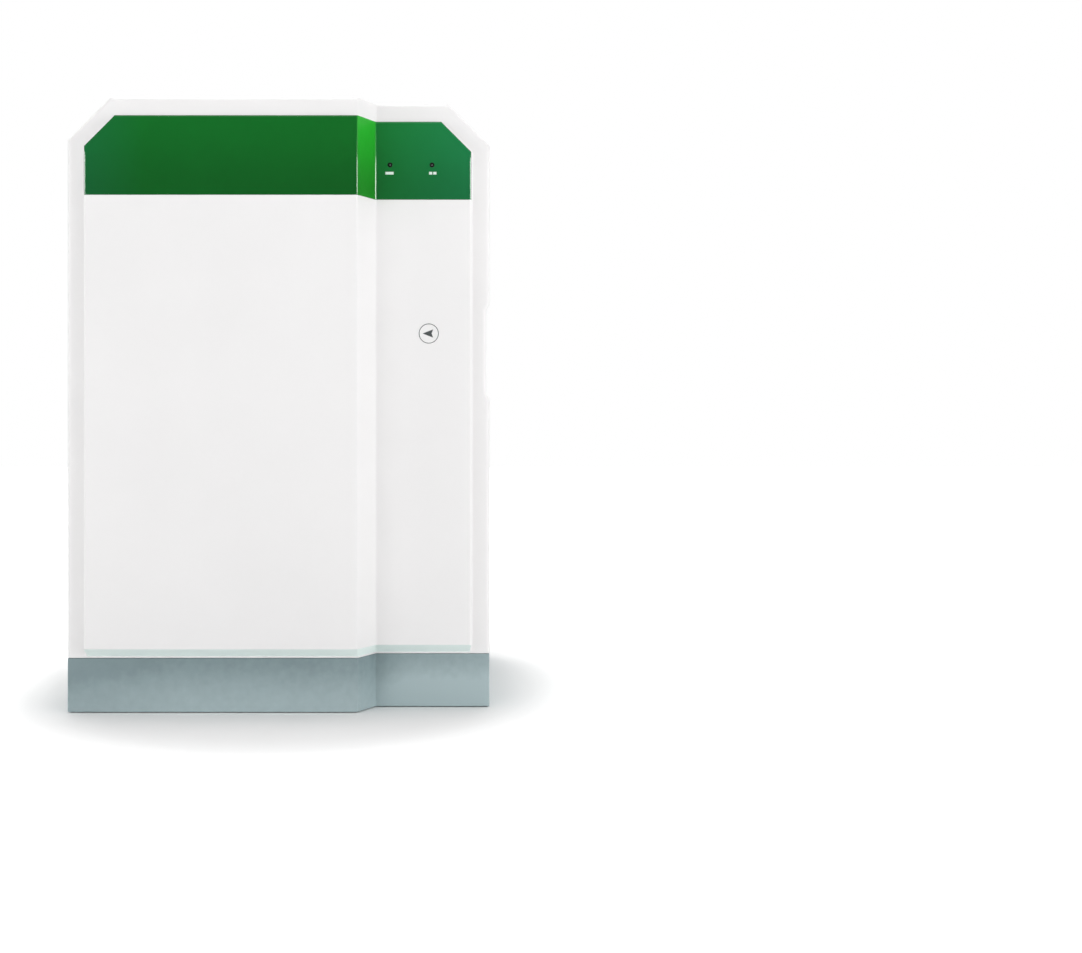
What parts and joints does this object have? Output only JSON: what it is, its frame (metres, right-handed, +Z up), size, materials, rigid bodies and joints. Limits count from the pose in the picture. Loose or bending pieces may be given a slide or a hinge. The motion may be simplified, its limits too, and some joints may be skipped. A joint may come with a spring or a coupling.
{
  "type": "automated blood culture system",
  "caption": "Bench-top incubating cabinet with a stepped full-width door, a green top band, a grey plinth and rocking bottle trays behind the door.",
  "frame": {"origin": "on the bench, under the middle of the cabinet's bounding box", "axes": "+Z up; -Y towards the user, the way the door faces; +X to the user's right, away from the door's hinge"},
  "size_m": [0.5, 0.54, 0.7265],
  "materials": {
    "white_moulding": "satin moulded white",
    "green_fascia": "polished dark green",
    "white_paint": "fine powder coat",
    "grey_plinth": "soft grey, faintly mottled",
    "white_liner": "vacuum formed white",
    "stainless_sheet": "brushed",
    "zinc_steel": "zinc plated",
    "black_rubber": "matt",
    "grey_seal": "matt",
    "insulation_felt": "pressed felt",
    "tray_moulding": "light grey moulding",
    "guide_plastic": "natural acetal",
    "bronze": "sintered",
    "link_aluminium": "anodised",
    "circuit_board": "solder mask",
    "motor_black": "black",
    "supply_case": "folded sheet",
    "probe_steel": "polished",
    "fan_black": "black moulding",
    "fitting_black": "black moulding",
    "lamp_lens": "clear lens",
    "magnet_case": "plated magnet"
  },
  "bodies": {
    "cabinet": {"cabinet_shell": "white_paint", "front_frame": "white_paint", "rear_panel": "white_paint", "base_plinth": "grey_plinth", "chamber_liner": "stainless_sheet", "rack_plate_left": "stainless_sheet", "rack_plate_right": "stainless_sheet", "air_baffle": "stainless_sheet", "chassis_plate": "zinc_steel", "rear_bulkhead": "zinc_steel", "rack_tie_rods": "zinc_steel", "strike_plates": "zinc_steel", "hinge_brackets": "zinc_steel", "hinge_pins": "zinc_steel", "panel_screws": "zinc_steel", "fan_guard": "zinc_steel", "rubber_feet": "black_rubber", "rear_bumpers": "black_rubber", "insulation_jacket": "insulation_felt", "link_guides": "guide_plastic", "axle_bushes": "bronze", "heater_element": "link_aluminium", "control_board": "circuit_board", "rock_motor": "motor_black", "power_supply": "supply_case", "temperature_probe": "probe_steel", "circulation_fan_frame": "fan_black", "exhaust_fan_frame": "fan_black", "power_inlet": "fitting_black", "switch_body": "fitting_black", "data_ports": "fitting_black"},
    "door": {"door_shell": "white_moulding", "door_fascia": "green_fascia", "door_liner": "white_liner", "door_foam": "insulation_felt", "door_gasket": "grey_seal", "door_magnets": "magnet_case", "hinge_knuckles": "zinc_steel", "led_bezels": "fitting_black", "indicator_leds": "lamp_lens", "led_board": "circuit_board"},
    "rocking_tray_1": {"tray_1": "tray_moulding", "sensor_board_1": "circuit_board"},
    "rocking_tray_2": {"tray_2": "tray_moulding", "sensor_board_2": "circuit_board"},
    "rocking_tray_3": {"tray_3": "tray_moulding", "sensor_board_3": "circuit_board"},
    "rocking_tray_4": {"tray_4": "tray_moulding", "sensor_board_4": "circuit_board"},
    "rocking_tray_5": {"tray_5": "tray_moulding", "sensor_board_5": "circuit_board"},
    "rocking_tray_6": {"tray_6": "tray_moulding", "sensor_board_6": "circuit_board"},
    "rocking_tray_7": {"tray_7": "tray_moulding", "sensor_board_7": "circuit_board"},
    "rocking_link": {"link_bar": "link_aluminium"},
    "rocking_pinion": {"drive_pinion": "bronze"},
    "circulation_rotor": {"circulation_fan_rotor": "fan_black"},
    "exhaust_rotor": {"exhaust_fan_rotor": "fan_black"},
    "switch_rocker": {"power_rocker": "fitting_black"}
  },
  "joints": [
    {"name": "door_hinge", "type": "hinge", "parent": "cabinet", "child": "door", "pos_m": [-0.236, -0.199, 0.4], "axis": [0, 0, -1], "range_deg": [0, 110]},
    {"name": "tray_1_rock", "type": "hinge", "parent": "cabinet", "child": "rocking_tray_1", "pos_m": [0, -0.0845, 0.193], "axis": [1, 0, 0], "range_deg": [-12, 12]},
    {"name": "tray_2_rock", "type": "hinge", "parent": "cabinet", "child": "rocking_tray_2", "pos_m": [0, -0.0845, 0.259], "axis": [1, 0, 0], "range_deg": [-12, 12]},
    {"name": "tray_3_rock", "type": "hinge", "parent": "cabinet", "child": "rocking_tray_3", "pos_m": [0, -0.0845, 0.325], "axis": [1, 0, 0], "range_deg": [-12, 12]},
    {"name": "tray_4_rock", "type": "hinge", "parent": "cabinet", "child": "rocking_tray_4", "pos_m": [0, -0.0845, 0.391], "axis": [1, 0, 0], "range_deg": [-12, 12]},
    {"name": "tray_5_rock", "type": "hinge", "parent": "cabinet", "child": "rocking_tray_5", "pos_m": [0, -0.0845, 0.457], "axis": [1, 0, 0], "range_deg": [-12, 12]},
    {"name": "tray_6_rock", "type": "hinge", "parent": "cabinet", "child": "rocking_tray_6", "pos_m": [0, -0.0845, 0.523], "axis": [1, 0, 0], "range_deg": [-12, 12]},
    {"name": "tray_7_rock", "type": "hinge", "parent": "cabinet", "child": "rocking_tray_7", "pos_m": [0, -0.0845, 0.589], "axis": [1, 0, 0], "range_deg": [-12, 12]},
    {"name": "link_slide", "type": "slide", "parent": "cabinet", "child": "rocking_link", "axis": [0, 0, 1], "range_m": [-0.0064, 0.0064]},
    {"name": "pinion_spin", "type": "hinge", "parent": "cabinet", "child": "rocking_pinion", "pos_m": [0.2035, -0.0351, 0.128], "axis": [1, 0, 0], "range_deg": [-30, 30]},
    {"name": "circulation_fan_spin", "type": "hinge", "parent": "cabinet", "child": "circulation_rotor", "pos_m": [0, 0.033, 0.2965], "axis": [0, 1, 0], "continuous": true},
    {"name": "exhaust_fan_spin", "type": "hinge", "parent": "cabinet", "child": "exhaust_rotor", "pos_m": [-0.14, 0.242, 0.5975], "axis": [0, 1, 0], "continuous": true},
    {"name": "power_rocker_tilt", "type": "hinge", "parent": "cabinet", "child": "switch_rocker", "pos_m": [0.105, 0.253, 0.1095], "axis": [1, 0, 0], "range_deg": [0, 14]}
  ],
  "couplings": [
    {"joint": "tray_2_rock", "follows": "tray_1_rock", "ratio": 1},
    {"joint": "tray_3_rock", "follows": "tray_1_rock", "ratio": 1},
    {"joint": "tray_4_rock", "follows": "tray_1_rock", "ratio": 1},
    {"joint": "tray_5_rock", "follows": "tray_1_rock", "ratio": 1},
    {"joint": "tray_6_rock", "follows": "tray_1_rock", "ratio": 1},
    {"joint": "tray_7_rock", "follows": "tray_1_rock", "ratio": 1},
    {"joint": "link_slide", "follows": "tray_1_rock", "m_per_rad": 0.03},
    {"joint": "pinion_spin", "follows": "tray_1_rock", "ratio": -2.4}
  ]
}
